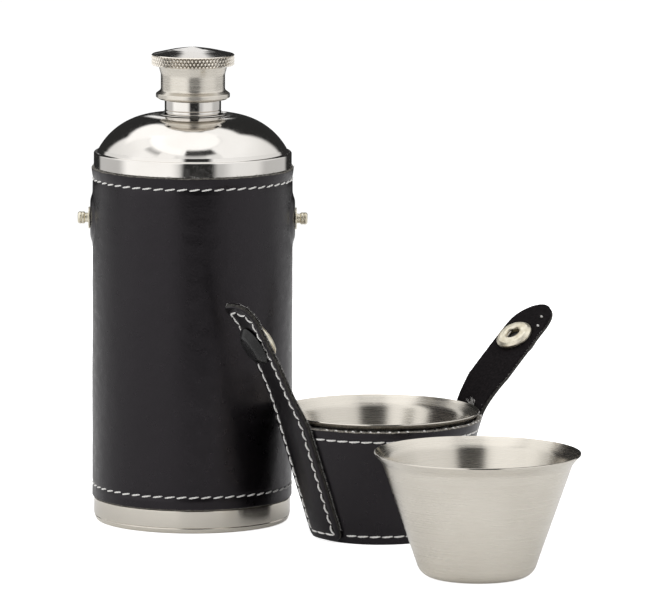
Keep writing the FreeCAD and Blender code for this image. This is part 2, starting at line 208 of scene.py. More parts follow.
def outline(corners, closed=True, arc_step=radians(6)):
    """Points along the corners, each rounding as a short arc."""
    points = []
    count = len(corners)
    for i, corner in enumerate(corners):
        here = Vector(corner[:2])
        at_end = not closed and i in (0, count - 1)
        if len(corner) == 2 or at_end:
            points.append(here)
            continue
        to_before = (Vector(corners[i - 1][:2]) - here).normalized()
        to_after = (Vector(corners[(i + 1) % count][:2]) - here).normalized()
        half = to_before.angle(to_after) / 2
        reach = corner[2] / tan(half)
        centre = here + (to_before + to_after).normalized() * (corner[2] / sin(half))
        first = here + to_before * reach - centre
        last = here + to_after * reach - centre
        start = atan2(first.y, first.x)
        turn = (atan2(last.y, last.x) - start + pi) % (2 * pi) - pi
        steps = max(2, ceil(abs(turn) / arc_step))
        for step in range(steps + 1):
            angle = start + turn * step / steps
            points.append(centre + Vector((cos(angle), sin(angle))) * corner[2])
    return points


def refined(points, longest):
    """The closed outline with its long sides cut into shorter ones."""
    fine = []
    for here, after in zip(points, points[1:] + points[:1]):
        steps = max(1, ceil((after - here).length / longest))
        fine += [here.lerp(after, step / steps) for step in range(steps)]
    return fine


def sheet_outline(points, thickness):
    """A closed outline of thin sheet, from the open outline of its outer face."""
    inner = []
    for i, here in enumerate(points):
        before = points[max(i - 1, 0)]
        after = points[min(i + 1, len(points) - 1)]
        along = (after - before).normalized()
        inner.append(here + Vector((-along.y, along.x)) * thickness)
    rim = (points[-1] + inner[-1]) / 2 + (points[-1] - points[-2]).normalized() * thickness * 0.3
    return points + [rim] + inner[::-1]


def grid_faces(rows, columns, wrap_rows=False, wrap_columns=False):
    faces = []
    for i in range(rows if wrap_rows else rows - 1):
        for j in range(columns if wrap_columns else columns - 1):
            next_i = (i + 1) % rows
            next_j = (j + 1) % columns
            faces.append(
                (i * columns + j, i * columns + next_j, next_i * columns + next_j, next_i * columns + j)
            )
    return faces


def piece(name, points, faces, finishes, slots=None, crease=35):
    """A smooth-shaded mesh object. slots gives each face's place in finishes."""
    mesh = bpy.data.meshes.new(name)
    mesh.from_pydata([Vector(p) * MM for p in points], [], faces)
    for finish in finishes:
        mesh.materials.append(finish)
    if slots:
        mesh.polygons.foreach_set("material_index", slots)
    cleaned = bmesh.new()
    cleaned.from_mesh(mesh)
    bmesh.ops.remove_doubles(cleaned, verts=cleaned.verts, dist=1e-7)
    bmesh.ops.recalc_face_normals(cleaned, faces=cleaned.faces)
    cleaned.to_mesh(mesh)
    cleaned.free()
    mesh.shade_smooth()
    mesh.set_sharp_from_angle(angle=radians(crease))
    rest = mesh.attributes.new("rest", "FLOAT_VECTOR", "POINT")
    rest.data.foreach_set("vector", [c for v in mesh.vertices for c in v.co])
    obj = bpy.data.objects.new(name, mesh)
    bpy.context.scene.collection.objects.link(obj)
    return obj


def mount(obj, body, slot, *nodes):
    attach(obj, body)
    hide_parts(*nodes)


def lathe(
    name, corners, finishes, mounting, place=Matrix(), segments=256, shape=None, slot_of=None, crease=35
):
    """A mounted piece turned about Z. shape(angle, radius, height) moves what isn't round."""
    points = []
    for step in range(segments):
        angle = 2 * pi * step / segments
        for corner in corners:
            radius, height = shape(angle, *corner) if shape else corner
            points.append(around(angle, radius, height))
    faces = grid_faces(segments, len(corners), wrap_rows=True, wrap_columns=True)
    slots = [slot_of(corners[face[0] % len(corners)]) for face in faces] if slot_of else None
    obj = piece(name, points, faces, finishes, slots, crease)
    obj.matrix_world = place
    mount(obj, *mounting)


class Strands:
    """Thread or fibres gathered into one mesh."""

    def __init__(self):
        self.points = []
        self.faces = []

    def add(self, path, normal, radius, sides=9, plies=0, end=0.55):
        """A strand along a path. plies gives it the lobes of a twisted thread."""
        first = len(self.points)
        last = len(path) - 1
        travelled = 0
        for i, point in enumerate(path):
            ahead = (path[min(i + 1, last)] - path[max(i - 1, 0)]).normalized()
            side = ahead.cross(normal).normalized()
            up = side.cross(ahead)
            travelled += (point - path[max(i - 1, 0)]).length
            taper = end + (1 - end) * min(1, 4 * min(i, last - i) / last)
            for k in range(sides):
                angle = 2 * pi * k / sides
                lobe = 1 + 0.16 * cos(3 * (angle - travelled * 2.2)) if plies else 1
                reach = radius * taper * lobe
                self.points.append(point + side * (reach * cos(angle)) + up * (reach * sin(angle)))
        count = last + 1
        rings = grid_faces(count, sides, wrap_columns=True)
        self.faces += [tuple(first + k for k in face) for face in rings]
        self.faces.append(tuple(range(first, first + sides)))
        self.faces.append(tuple(range(first + count * sides - sides, first + count * sides)))

    def stitch(self, surface, start, end, radius=THREAD_R, bow=0.0):
        """A stitch that comes up out of a surface(u, v) at start and goes back in at end."""
        path = []
        across = (end - start).normalized().orthogonal()
        for step in range(STITCH_STEPS + 1):
            share = step / STITCH_STEPS
            arch = sin(pi * share)
            place = start.lerp(end, share) + across * (bow * arch)
            point, normal = surface(*place)
            path.append(point + normal * (radius * (1.5 * sqrt(arch) - 0.9)))
        self.add(path, normal, radius, plies=3)

    def fibre(self, root, direction, length, radius, rng):
        """A short bent hair."""
        bend = Vector((rng.uniform(-1, 1), rng.uniform(-1, 1), rng.uniform(-1, 1))) * 0.45
        path = [root + (direction + bend * t) * (length * t) for t in (0, 0.35, 0.7, 1)]
        self.add(path, direction.orthogonal(), radius, sides=3, end=0.3)

    def made(self, name, finish):
        return piece(name, self.points, self.faces, [finish], crease=60)


def helical_ridge(name, finish, root_r, crest_r, first_z, turns, steps_per_turn=96):
    """A thread's ridge that winds up about Z and fades out at its ends."""
    sunk_r = root_r - copysign(0.15, crest_r - root_r)
    low = [(sunk_r, -THREAD_FOOT), (crest_r, -THREAD_CREST)]
    section = low + [(crest_r, THREAD_CREST), (sunk_r, THREAD_FOOT)]
    count = round(turns * steps_per_turn)
    points = []
    for step in range(count + 1):
        angle = 2 * pi * step / steps_per_turn
        fade = min(1, 12 * min(step, count - step) / count)
        for radius, height in section:
            reach = sunk_r + (radius - sunk_r) * fade
            z = first_z + THREAD_PITCH * step / steps_per_turn + height / 2
            points.append(around(angle, reach, z))
    faces = grid_faces(count + 1, 4, wrap_columns=True)
    return piece(name, points, faces + [(0, 1, 2, 3), tuple(range(4 * count, 4 * count + 4))], [finish])


# ---- Node trees ----


class Tree:
    """Short ways to add and link shader nodes."""

    def __init__(self, tree):
        self.nodes = tree.nodes
        self.links = tree.links

    def add(self, kind, inputs=None, **settings):
        made = self.nodes.new("ShaderNode" + kind)
        for name, value in settings.items():
            setattr(made, name, value)
        for name, value in (inputs or {}).items():
            self.put(made.inputs[name], value)
        return made

    def put(self, socket, value):
        if isinstance(value, bpy.types.NodeSocket):
            self.links.new(value, socket)
        else:
            socket.default_value = value

    def math(self, operation, first, second=0.0):
        return self.add("Math", {0: first, 1: second}, operation=operation).outputs[0]

    def plus(self, first, second):
        return self.math("ADD", first, second)

    def times(self, first, second):
        return self.math("MULTIPLY", first, second)

    def map(self, value, low, high, to_low, to_high, smoothly=False):
        kind = "SMOOTHSTEP" if smoothly else "LINEAR"
        inputs = {"Value": value, "From Min": low, "From Max": high, "To Min": to_low, "To Max": to_high}
        return self.add("MapRange", inputs, interpolation_type=kind).outputs["Result"]

    def window(self, value, low, high, soft):
        """1 between low and high, fading to 0 outside."""
        rise = self.map(value, low - soft, low + soft, 0, 1, True)
        fall = self.map(value, high - soft, high + soft, 1, 0, True)
        return self.times(rise, fall)


class Finish(Tree):
    """A procedural material on one Principled shader. rest reads the unbent place of a bending piece."""

    def __init__(self, name, rest=False, **sockets):
        self.material = bpy.data.materials.new(name)
        self.material.use_nodes = True
        super().__init__(self.material.node_tree)
        self.shader = self.nodes["Principled BSDF"]
        if rest:
            self.place = self.add("Attribute", attribute_name="rest").outputs["Vector"]
        else:
            self.place = self.add("TexCoord").outputs["Object"]
        for socket, value in sockets.items():
            self.put(self.shader.inputs[socket.replace("_", " ")], value)

    def noise(self, scale, detail=3.0, stretch=(1, 1, 1), place=None):
        moved = self.add("Mapping", {"Vector": place or self.place, "Scale": stretch}).outputs[0]
        return self.add("TexNoise", {"Vector": moved, "Scale": scale, "Detail": detail}).outputs["Fac"]

    def cells(self, scale, feature="F1"):
        made = self.add("TexVoronoi", {"Vector": self.place, "Scale": scale}, feature=feature)
        return made.outputs["Distance"]

    def about_z(self):
        """The place's x, y and z, and its distance from Z."""
        x, y, z = self.add("SeparateXYZ", {"Vector": self.place}).outputs
        return x, y, z, self.math("SQRT", self.plus(self.times(x, x), self.times(y, y)))

    def colours(self, value, *stops):
        ramp = self.add("ValToRGB", {"Fac": value})
        elements = ramp.color_ramp.elements
        while len(elements) < len(stops):
            elements.new(0.5)
        for element, (position, colour) in zip(elements, stops):
            element.position = position
            element.color = (*colour, 1)
        return ramp.outputs["Color"]

    def paint(self, colour):
        self.put(self.shader.inputs["Base Color"], colour)

    def mottle(self, scale, detail, low, high, ends=(0.3, 0.7)):
        """Paints cloudy patches from one colour to the other."""
        self.paint(self.colours(self.noise(scale, detail), (ends[0], low), (ends[1], high)))

    def rough(self, value, low, high):
        self.put(self.shader.inputs["Roughness"], self.map(value, 0.3, 0.7, low, high))

    def bump(self, height, depth, normal=None):
        """Adds relief of this depth in millimetres, over what is there."""
        inputs = {"Height": height, "Strength": 1.0, "Distance": depth * MM}
        if normal is not None:
            inputs["Normal"] = normal
        out = self.add("Bump", inputs).outputs["Normal"]
        self.put(self.shader.inputs["Normal"], out)
        return out


def grey(level, warmth=0.0):
    return (level * (1 + warmth), level, level * (1 - 1.6 * warmth))


# ---- Finishes ----


def polished_steel():
    made = Finish("polished_steel", Metallic=1.0)
    made.mottle(60, 5, (0.74, 0.71, 0.67), (0.80, 0.775, 0.74))
    made.rough(made.noise(900, 6), 0.05, 0.13)
    made.bump(made.noise(350, 2), 0.004)
    return made.material


def turning_lines(made, fineness, length):
    """Noise drawn out round Z, finer across the surface than this many lines per metre."""
    x, y, z, radius = made.about_z()
    across = made.times(made.plus(z, radius), fineness)
    place = made.add("CombineXYZ", {0: made.times(x, length), 1: made.times(y, length), 2: across})
    return made.noise(1.0, 4.0, place=place.outputs[0])


def brushed_steel(name="brushed_steel", roughness=(0.20, 0.34), contrast=0.065, fineness=2600, depth=0.012):
    """Steel brushed round its axis, so that its reflections are sharp round it and drawn out along it."""
    made = Finish(name, Metallic=1.0, Anisotropic=0.7, Anisotropic_Rotation=0.25)
    made.put(made.shader.inputs["Tangent"], made.add("Tangent", direction_type="RADIAL", axis="Z").outputs[0])
    lines = turning_lines(made, fineness, 45)
    clouds = made.noise(70, 3)
    tone = made.plus(made.times(lines, 0.6), made.times(clouds, 0.4))
    low = (0.69 - contrast, 0.65 - contrast, 0.58 - contrast)
    high = (0.69 + contrast, 0.65 + contrast, 0.58 + contrast)
    made.paint(made.colours(tone, (0.32, low), (0.66, high)))
    made.rough(lines, *roughness)
    made.bump(turning_lines(made, 5200, 80), depth)
    return made.material


def nickel_plate():
    made = Finish("nickel_plate", Metallic=1.0)
    made.mottle(500, 4, (0.66, 0.60, 0.46), (0.88, 0.83, 0.70))
    made.rough(made.noise(1500, 4), 0.30, 0.42)
    made.bump(made.noise(1500, 3), 0.09)
    return made.material


def knurled_steel():
    """Painted shade in the knurl's grooves: bright on the points of the knurl, dull and dark down in its
    grooves.
    """
    made = Finish("knurled_steel", Metallic=1.0)
    radius = made.about_z()[3]
    rim_r = span("cap_head").r
    height = made.map(radius, (rim_r - KNURL_DEPTH) * MM, rim_r * MM, 0, 1)
    groove_shade_and_mottle = made.plus(height, made.times(made.noise(1200, 4), 0.25))
    # painted shade: the colour darkens with depth into the knurl's grooves, with a little random mottle over
    # it
    made.paint(made.colours(groove_shade_and_mottle, (0.15, (0.20, 0.17, 0.13)), (0.7, (0.86, 0.81, 0.73))))
    made.rough(made.noise(2000, 4), 0.16, 0.30)
    made.bump(made.noise(3000, 3), 0.008)
    return made.material


def spring_wire():
    made = Finish("spring_wire", Metallic=1.0)
    made.mottle(1500, 3, grey(0.34, 0.08), grey(0.52, 0.08))
    made.rough(made.noise(2500, 3), 0.25, 0.45)
    return made.material


def black_enamel():
    made = Finish("black_enamel", Coat_Weight=0.15, Coat_Roughness=0.12, Specular_IOR_Level=0.3)
    made.mottle(300, 4, grey(0.004), grey(0.008))
    made.rough(made.noise(1200, 5), 0.24, 0.34)
    made.bump(made.noise(700, 3), 0.01)
    return made.material


def black_leather(name="black_leather", tone=0.003, roughness=(0.26, 0.35)):
    made = Finish(name, rest=True, Specular_IOR_Level=0.36, Specular_Tint=(1.0, 0.92, 1.0, 1))
    low = (tone * 0.85, tone * 0.72, tone * 0.9)
    high = (tone * 1.4, tone * 1.15, tone * 1.35)
    made.mottle(55, 5, low, high, ends=(0.25, 0.75))
    made.rough(made.noise(420, 6), *roughness)
    pebbles = made.bump(made.cells(1500, "SMOOTH_F1"), 0.020)
    creases = made.bump(made.noise(2600, 4), 0.014, pebbles)
    made.bump(made.noise(240, 3), 0.05, creases)
    return made.material


def cut_leather(name="cut_leather", dark=0.03, light=0.24):
    """The raw edge of the hide: greyish-brown packed fibres."""
    made = Finish(name, rest=True, Roughness=0.95)
    fibres = made.noise(2600, 6, stretch=(1, 1, 0.45))
    made.paint(made.colours(fibres, (0.35, grey(dark, 0.10)), (0.68, grey(light, 0.08))))
    made.bump(made.noise(3400, 5), 0.16)
    return made.material


def black_suede():
    """Napped inner side, with a few pale specks of lint."""
    made = Finish("black_suede", rest=True, Roughness=1.0, Specular_IOR_Level=0.12)
    nap = made.noise(1500, 6)
    specks = made.math("LESS_THAN", made.cells(300), 0.05)
    dust = made.times(specks, made.noise(130, 2))
    cloth = made.colours(nap, (0.3, (0.005, 0.004, 0.0045)), (0.75, (0.017, 0.014, 0.0155)))
    mixed = made.add("Mix", {0: dust, 6: cloth, 7: (0.42, 0.41, 0.40, 1)}, data_type="RGBA")
    made.paint(mixed.outputs[2])
    made.bump(nap, 0.12)
    return made.material


def white_thread():
    made = Finish("white_thread", rest=True, Roughness=0.75, Sheen_Weight=0.25)
    made.mottle(1800, 4, (0.74, 0.72, 0.69), (0.95, 0.94, 0.92))
    made.bump(made.noise(4200, 3), 0.05)
    return made.material


def loose_fibre():
    made = Finish("loose_fibre", rest=True, Roughness=0.9)
    made.mottle(900, 3, grey(0.22, 0.03), grey(0.62, 0.02))
    return made.material


def seal_rubber():
    made = Finish("seal_rubber", Roughness=0.5)
    made.mottle(400, 3, grey(0.50, 0.02), grey(0.58, 0.02))
    made.bump(made.noise(1500, 3), 0.02)
    return made.material


POLISHED = polished_steel()
BRUSHED = brushed_steel()
CUP_STEEL = brushed_steel("cup_steel", (0.21, 0.30), 0.045, 5200, 0.006)
BASE_STEEL = brushed_steel("base_steel", (0.16, 0.22), 0.01, 5200, 0.001)
NICKEL = nickel_plate()
KNURLED = knurled_steel()
WIRE = spring_wire()
ENAMEL = black_enamel()
LEATHER = black_leather()
STRAP_SKIN = black_leather("strap_leather", 0.002, (0.30, 0.40))
CUT = cut_leather()
PALE_CUT = cut_leather("pale_cut_leather", 0.06, 0.42)
STRAP_CUT = cut_leather("dark_cut_leather", 0.006, 0.06)
SUEDE = black_suede()
THREAD = white_thread()
FIBRE = loose_fibre()
RUBBER = seal_rubber()


# ---- Bottle ----


def bottle_base():
    base = span("bottle_base")
    corners = [
        (0, 0.5), (base.r - 6.5, 0.5), (base.r - 5.6, base.bottom),
        (base.r - 0.75, base.bottom, 0.75), (base.r - 0.12, 1.45, 0.5), (base.r - 0.28, 1.62),
        (base.r - 0.02, 1.85, 0.4), (base.r, base.top, 0.3), (base.r - 1.1, base.top),
        (base.r - 1.1, 1.3, 1.0), (0, 1.3),
    ]
    lathe("base_shell", outline(corners), [BASE_STEEL], ("flask", "polished_steel", "bottle_base"))


def shoulder_dome():
    dome = span("shoulder_dome")
    foot_r = dome.r - 1.6
    foot_z = dome.top - 10.05
    collar_z = dome.top - 11.15
    # the foot and the flat top are tangent to the arc, so one rounded corner makes the dome
    centre_z = dome.top - DOME_ARC_R
    corner_r = foot_r - (dome.top - foot_z) * (foot_z - centre_z) / (foot_r - DOME_TOP_R)
    hole_r = NECK_R + 0.11
    corners = [
        (dome.r, dome.bottom), (dome.r, collar_z, 0.5), (foot_r + 0.5, collar_z, 0.3),
        (foot_r, foot_z), (corner_r, dome.top, DOME_ARC_R - 0.1), (DOME_TOP_R - 0.1, dome.top, 0.5),
        (hole_r, dome.top - DOME_DIP), (hole_r, dome.top - DOME_DIP - DOME_SHEET),
        (DOME_TOP_R - 0.1, dome.top - DOME_SHEET),
        (corner_r - 0.44, dome.top - DOME_SHEET, DOME_ARC_R - 0.9), (foot_r - 0.84, foot_z),
        (foot_r - 0.84, collar_z - 0.8), (dome.r - 1.25, collar_z - 0.8),
        (dome.r - 1.25, dome.bottom),
    ]
    points = outline(corners, arc_step=radians(2.5))
    mounting = ("flask", "polished_steel", "shoulder_dome")
    lathe("shoulder_shell", points, [POLISHED], mounting, segments=320)
    return dome.top


def neck(dome_top):
    top = span("neck").top
    stem_r = NECK_R - 0.14
    flange_top = dome_top - DOME_DIP - DOME_SHEET - 0.1
    corners = [
        (NECK_BORE_R, flange_top - 0.8), (NECK_R + 1.2, flange_top - 0.8),
        (NECK_R + 1.2, flange_top), (stem_r, flange_top), (stem_r, dome_top + 0.4),
        (NECK_R + 0.06, dome_top + 0.75, 0.15), (NECK_R + 0.06, dome_top + 1.3, 0.1),
        (stem_r - 0.1, dome_top + 1.45), (NECK_R, dome_top + 1.65, 0.1),
        (NECK_R, top - NECK_SHOULDER_DROP, 0.25), (NECK_CORE_R, top - NECK_SHOULDER_DROP),
        (NECK_CORE_R, top, 0.4), (NECK_BORE_R, top, 0.3),
    ]
    lathe("neck_tube", outline(corners), [POLISHED], ("flask", "polished_steel", "neck"))
    ridge = helical_ridge("neck_thread", POLISHED, NECK_CORE_R, NECK_CORE_R + THREAD_DEPTH, top - 6.2, 2.0)
    mount(ridge, "flask", "polished_steel")
    bottom = dome_top - 0.12
    ring = [
        (NECK_R + 0.08, bottom), (DOME_TOP_R - 1.0, bottom), (DOME_TOP_R, bottom + 0.32, 0.1),
        (DOME_TOP_R - 0.05, bottom + 0.52, 0.08), (DOME_TOP_R - 1.1, bottom + 0.3, 0.4),
        (NECK_R + 0.08, bottom + 0.3),
    ]
    lathe("neck_ring", outline(ring), [POLISHED], ("flask", "polished_steel", "neck_flange"))


SLEEVE = span("leather_sleeve")
SLEEVE_R = SLEEVE.r - SLEEVE_LIP
SLEEVE_PITCH = 2 * pi * SLEEVE_R / SLEEVE_STITCHES
SLEEVE_ROWS = (SLEEVE.top - SLEEVE_TOP_ROW, SLEEVE.bottom + SLEEVE_BOTTOM_ROW)
STUD_Z = sum(corner.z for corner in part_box("stud_right")) / 2 / MM


def sleeve_radius(angle, height):
    """Radius of the sleeve's outside, with its lip, the rivet plates' bumps and the pressed rows."""
    place = around(angle, SLEEVE_R, height)
    radius = SLEEVE_R + SLEEVE_LIP * smooth(height, SLEEVE.top - SLEEVE_LIP_HEIGHT, SLEEVE.top)
    from_stud = hypot(place[1], height - STUD_Z)
    radius += STUD_BUMP_RISE * (1 - smooth(from_stud, STUD_BUMP_TOP, STUD_BUMP_FOOT))
    for row in SLEEVE_ROWS:
        radius -= pressed(height - row)
    return radius + 0.10 * wobble(place, 17) + 0.035 * wobble(place, 3.5)


def sleeve_surface(arc, height):
    angle = arc / SLEEVE_R
    radius = sleeve_radius(angle, height)
    out = outward(angle)
    return out * radius + UP * height, out


def leather_sleeve():
    inner_r = SLEEVE_R - SLEEVE_LEATHER
    corners = [
        (inner_r, SLEEVE.bottom), (SLEEVE_R, SLEEVE.bottom, 0.45), (SLEEVE_R, SLEEVE.top, 0.35),
        (inner_r, SLEEVE.top),
    ]
    points = refined(outline(corners), 0.62)
    # the hidden inner wall needs no points between its ends
    ends = (SLEEVE.bottom + 0.7, SLEEVE.top - 0.7)
    points = [p for p in points if p.x > inner_r + 0.01 or not ends[0] < p.y < ends[1]]

    def shape(angle, radius, height):
        place = around(angle, radius, height)
        depth = SLEEVE_R - radius
        if depth < 1.0:
            radius = sleeve_radius(angle, height) - depth
        ragged = 0.16 * wobble(place, 5) + 0.14 * wobble(place, 0.9)
        if height > SLEEVE.top - 0.5:
            height += ragged - 0.12
        if height < SLEEVE.bottom + 0.5:
            height += 0.4 * ragged + 0.05
        return radius, height

    def slot_of(corner):
        at_edge = corner[1] > SLEEVE.top - 0.3 or corner[1] < SLEEVE.bottom + 0.25
        return 1 if at_edge or corner[0] < SLEEVE_R - 1 else 0

    lathe(
        "sleeve_leather", points, [LEATHER, CUT], ("flask", "black_leather", "leather_sleeve"),
        segments=400, shape=shape, slot_of=slot_of, crease=50,
    )


def sleeve_stitches():
    slant = 0.27
    for name, row in zip(("top", "bottom"), SLEEVE_ROWS):
        rng = random.Random(SEED + len(name))
        threads = Strands()
        for i in range(SLEEVE_STITCHES):
            start = (i + 0.11 + rng.uniform(-0.02, 0.02)) * SLEEVE_PITCH
            end = start + SLEEVE_STITCH_SHARE * SLEEVE_PITCH
            lift = rng.uniform(-0.06, 0.06)
            low = Vector((start, row - slant + lift))
            high = Vector((end, row + slant + lift))
            threads.stitch(sleeve_surface, low, high, SLEEVE_THREAD_R)
        mount(threads.made("sleeve_stitches_" + name, THREAD), "flask", "white_thread")


def sleeve_fibres():
    """Hairs along the raw top and bottom edges, and one longer tuft at the front."""
    rng = random.Random(SEED)
    hairs = Strands()
    for _ in range(SLEEVE_HAIRS):
        angle = rng.uniform(0, 2 * pi)
        out = outward(angle)
        depth = rng.uniform(0, 0.5)
        if rng.random() < 0.75:
            root = out * (SLEEVE_R + SLEEVE_LIP - depth) + UP * (SLEEVE.top - 0.2)
            hairs.fibre(root, UP + out * rng.uniform(-0.5, 0.5), rng.uniform(0.25, 0.6), 0.035, rng)
        else:
            root = out * (SLEEVE_R - 0.1 - depth) + UP * (SLEEVE.bottom + 0.3)
            hairs.fibre(root, out * rng.uniform(0.1, 0.5) - UP, rng.uniform(0.2, 0.45), 0.03, rng)
    tuft = Vector((1.3, -SLEEVE_R, SLEEVE.top - 0.2))
    for _ in range(TUFT_HAIRS):
        shift = Vector((rng.uniform(-1.3, 1.3), rng.uniform(0, 0.3), 0))
        hairs.fibre(tuft + shift, UP, (1.5 - abs(shift.x)) * rng.uniform(0.3, 0.8), 0.05, rng)
    mount(hairs.made("sleeve_edge_fibres", FIBRE), "flask", "black_leather")


def studs():
    for side, turn in (("right", 90), ("left", -90)):
        low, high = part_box("stud_" + side)
        tip = max(abs(low.x), abs(high.x)) / MM
        foot = min(abs(low.x), abs(high.x)) / MM
        stud = outline([
            (0, foot), (1.45, foot), (1.45, tip - 2.1, 0.15), (1.82, tip - 2.1, 0.3),
            (1.82, tip - 1.3, 0.2), (1.7, tip - 1.15), (1.82, tip - 1.0, 0.2), (1.82, tip, 0.7),
            (0, tip),
        ])
        washer_low = SLEEVE_R + STUD_BUMP_RISE + 0.05
        washer = outline([
            (1.5, washer_low), (3.25, washer_low, 0.1), (3.25, washer_low + 0.45, 0.18),
            (1.5, washer_low + 0.45),
        ])
        place = Matrix.Translation(UP * (STUD_Z * MM)) @ Matrix.Rotation(radians(turn), 4, "Y")
        for name, points, node in (("stud_pin_", stud, "stud_"), ("stud_disc_", washer, "stud_washer_")):
            mounting = ("flask", "nickel_plate", node + side)
            lathe(name + side, points, [NICKEL], mounting, place, segments=96)


# ---- Cap ----


def cap_skirt():
    skirt = span("cap_skirt")
    bottom = skirt.bottom
    corners = [
        (CAP_BORE_R, bottom + 0.6), (CAP_BORE_R + 0.6, bottom, 0.15), (skirt.r - 0.62, bottom, 0.3),
        (skirt.r, bottom + 0.55, 0.3), (skirt.r, bottom + 1.6, 0.4),
        (CAP_BARREL_R, bottom + 2.7, 1.0), (CAP_BARREL_R, bottom + 7.4, 3.0),
        (CAP_BARREL_R + 0.7, skirt.top), (CAP_BORE_R, skirt.top),
    ]

    def turned_grooves(angle, radius, height):
        fine = 0.012 * sin(height * 21) * (radius > CAP_BORE_R + 0.8)
        return radius + fine, height

    points = refined(outline(corners), 0.12)
    mounting = ("cap", "brushed_steel", "cap_skirt")
    lathe("cap_barrel", points, [BRUSHED], mounting, segments=192, shape=turned_grooves)
    crest_r = CAP_BORE_R - THREAD_DEPTH
    ridge = helical_ridge("cap_thread", BRUSHED, CAP_BORE_R, crest_r, bottom + 2.55, 1.5)
    mount(ridge, "cap", "brushed_steel")


def cap_head():
    head = span("cap_head")
    rim_bottom = span("cap_skirt").top + 0.05
    rim_top = head.top - 2.2
    knurl_low = rim_bottom + 0.3
    knurl_high = rim_top - 0.25
    spigot_r = CAP_BORE_R - 0.05
    corners = [
        (0, head.bottom), (spigot_r, head.bottom), (spigot_r, rim_bottom),
        (head.r - 0.45, rim_bottom), (head.r, knurl_low), (head.r, knurl_high),
        (head.r - 0.3, rim_top, 0.1), (head.r / 2, rim_top + 1.35, 40), (0, head.top),
    ]

    def ridge(value):
        return 1 - abs(2 * (value % 1) - 1)

    def knurl(angle, radius, height):
        if radius < head.r - 0.05 or not knurl_low <= height <= knurl_high:
            return radius, height
        turn = KNURL_COUNT * angle / (2 * pi)
        rise = (height - knurl_low) / KNURL_HEIGHT
        pyramid = min(ridge(turn + rise), ridge(turn - rise))
        return radius - KNURL_DEPTH * (1 - min(1, 1.25 * pyramid)), height

    points = refined(outline(corners), 0.19)
    lathe(
        "cap_disc", points, [POLISHED, KNURLED], ("cap", "polished_steel", "cap_head"),
        segments=8 * KNURL_COUNT, shape=knurl, crease=28,
        slot_of=lambda corner: 1 if corner[0] > head.r - 0.4 and corner[1] < rim_top - 0.05 else 0,
    )


# ---- Cups ----


def cup(name, node):
    cup_span = span(node)
    bottom = cup_span.bottom
    outer = outline(
        [
            (0, bottom), (CUP_FOOT_R, bottom, CUP_FOOT_CORNER),
            (CUP_FLARE_R, cup_span.top - CUP_FLARE_BELOW_TOP, 4.0),
            (cup_span.r, cup_span.top - CUP_RIM_BELOW_TOP),
        ],
        closed=False,
        arc_step=radians(4),
    )
    points = refined(sheet_outline(outer, CUP_SHEET), 0.5)
    rim = cup_span.top - 0.35
    place = Matrix.Translation((cup_span.x * MM, cup_span.y * MM, 0))
    lathe(
        name, points, [CUP_STEEL, BASE_STEEL], (node, "brushed_steel", node), place,
        segments=288, crease=50, slot_of=lambda corner: 1 if corner[1] > rim else 0,
    )


# ---- Case ----

CASE = span("case_wall")
CASE_LEAN = atan2(CASE.r - CASE.foot_r, CASE.top - CASE.bottom)
CASE_CENTRE = Vector((CASE.x, CASE.y, 0))
CASE_PLACE = Matrix.Translation(CASE_CENTRE * MM)
CASE_ROWS = (CASE.top - CASE_RIM_ROW, CASE.bottom + CASE_FOOT_ROW)


def case_radius(height):
    return CASE.foot_r + (CASE.r - CASE.foot_r) * (height - CASE.bottom) / (CASE.top - CASE.bottom)


def case_surface(angle, height):
    """Point and normal on the case's outside, with its pressed rows and unevenness."""
    radius = case_radius(height)
    place = around(angle, radius, height)
    for row in CASE_ROWS:
        radius -= pressed(height - row)
    radius += 0.10 * wobble(place, 11) + 0.03 * wobble(place, 3)
    out = outward(angle)
    normal = (out - UP * tan(CASE_LEAN)).normalized()
    return CASE_CENTRE + out * radius + UP * height, normal


def case_layer(name, outer_depth, inner_depth, bottom, top, finishes, mounting, slot_of=None):
    """A conical layer between two depths below the case's outside."""
    across = 1 / cos(CASE_LEAN)
    corners = [
        (case_radius(bottom) - outer_depth * across, bottom, 0.2),
        (case_radius(top) - outer_depth * across, top, 0.2),
        (case_radius(top) - inner_depth * across, top, 0.2),
        (case_radius(bottom) - inner_depth * across, bottom, 0.2),
    ]

    def shape(angle, radius, height):
        depth = case_radius(height) - radius
        point, _ = case_surface(angle, height)
        uneven = (point - CASE_CENTRE).to_2d().length - case_radius(height)
        share = 1 if depth < outer_depth * across + 0.3 else 0.3
        radius += uneven * share - 0.04 * abs(uneven)
        if height > top - 0.3:
            height += 0.12 * wobble(point, 4) + 0.12 * wobble(point, 0.8) - 0.1
        return radius, height

    points = refined(outline(corners), 0.6)
    lathe(name, points, finishes, mounting, CASE_PLACE, 320, shape, slot_of, crease=50)


def case_shell():
    case_layer(
        "case_leather", 0, CASE_LEATHER, CASE.bottom, CASE.top, [LEATHER, PALE_CUT],
        ("case", "black_leather", "case_wall"),
        lambda corner: 1 if corner[1] > CASE.top - 0.4 or corner[0] < case_radius(corner[1]) - 0.35 else 0,
    )
    lining = span("case_lining")
    depth = (case_radius(lining.top) - lining.r) * cos(CASE_LEAN)
    case_layer(
        "case_suede_lining", depth, depth + 0.5, lining.bottom, lining.top, [SUEDE],
        ("case", "black_suede", "case_lining"),
    )


def case_bottom():
    base = span("case_base")
    disc = outline([
        (0, base.bottom + 0.1), (base.r, base.bottom, 0.35), (base.r, base.top, 0.35), (0, base.top)
    ])

    def uneven(angle, radius, height):
        place = around(angle, radius, height)
        inside = 1 - smooth(radius, base.r - 1.5, base.r)
        return radius, height + (0.08 * wobble(place, 5) if height > 0.5 else 0) * inside

    points = refined(disc, 0.8)
    mounting = ("case", "black_leather", "case_base")
    lathe("case_bottom_leather", points, [LEATHER], mounting, CASE_PLACE, segments=160, shape=uneven)


